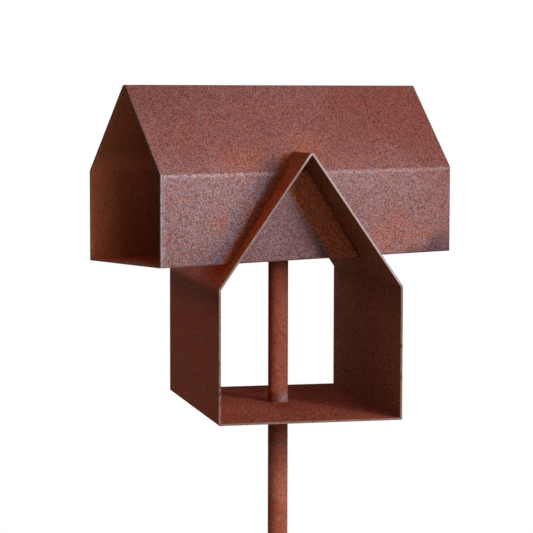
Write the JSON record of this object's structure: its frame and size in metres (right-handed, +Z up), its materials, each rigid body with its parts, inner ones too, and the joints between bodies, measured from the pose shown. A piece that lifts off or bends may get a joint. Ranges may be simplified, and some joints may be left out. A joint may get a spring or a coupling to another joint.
{
  "type": "bird feeder",
  "caption": "Open gabled feeding house of rusty steel sheet, crossed by a longer gabled house in its roof, on a round ground pole.",
  "frame": {"origin": "centre of the pole's foot, on its flat end face at ground level", "axes": "+Z up along the pole, -Y towards the open front gable of the lower house, +X to its right; the upper house's ridge is turned 24.75 degrees from +X towards +Y"},
  "size_m": [0.379, 0.2592, 1.5201],
  "materials": {
    "rusty_sheet": "weathering steel with a dry, speckled red-brown rust skin",
    "rusty_floor": "weathering steel, dark red-brown rust",
    "rusty_pole": "weathering steel tube, smooth red-brown rust",
    "rusty_weld": "rusted weld bead"
  },
  "bodies": {
    "root": {"pole_foot": "rusty_pole", "pole": "rusty_pole", "pole_collar": "rusty_weld", "pole_top": "rusty_pole", "pole_floor_weld": "rusty_weld", "pole_top_weld": "rusty_weld", "lower_floor": "rusty_floor", "lower_left_wall": "rusty_sheet", "lower_right_wall": "rusty_sheet", "lower_left_slope": "rusty_sheet", "lower_right_slope": "rusty_sheet", "upper_floor": "rusty_floor", "upper_front_wall": "rusty_sheet", "upper_rear_wall": "rusty_sheet", "upper_front_slope": "rusty_sheet", "upper_rear_slope": "rusty_sheet", "front_saddle_weld": "rusty_weld", "rear_saddle_weld": "rusty_weld", "left_saddle_weld": "rusty_weld", "right_saddle_weld": "rusty_weld"}
  },
  "joints": []
}
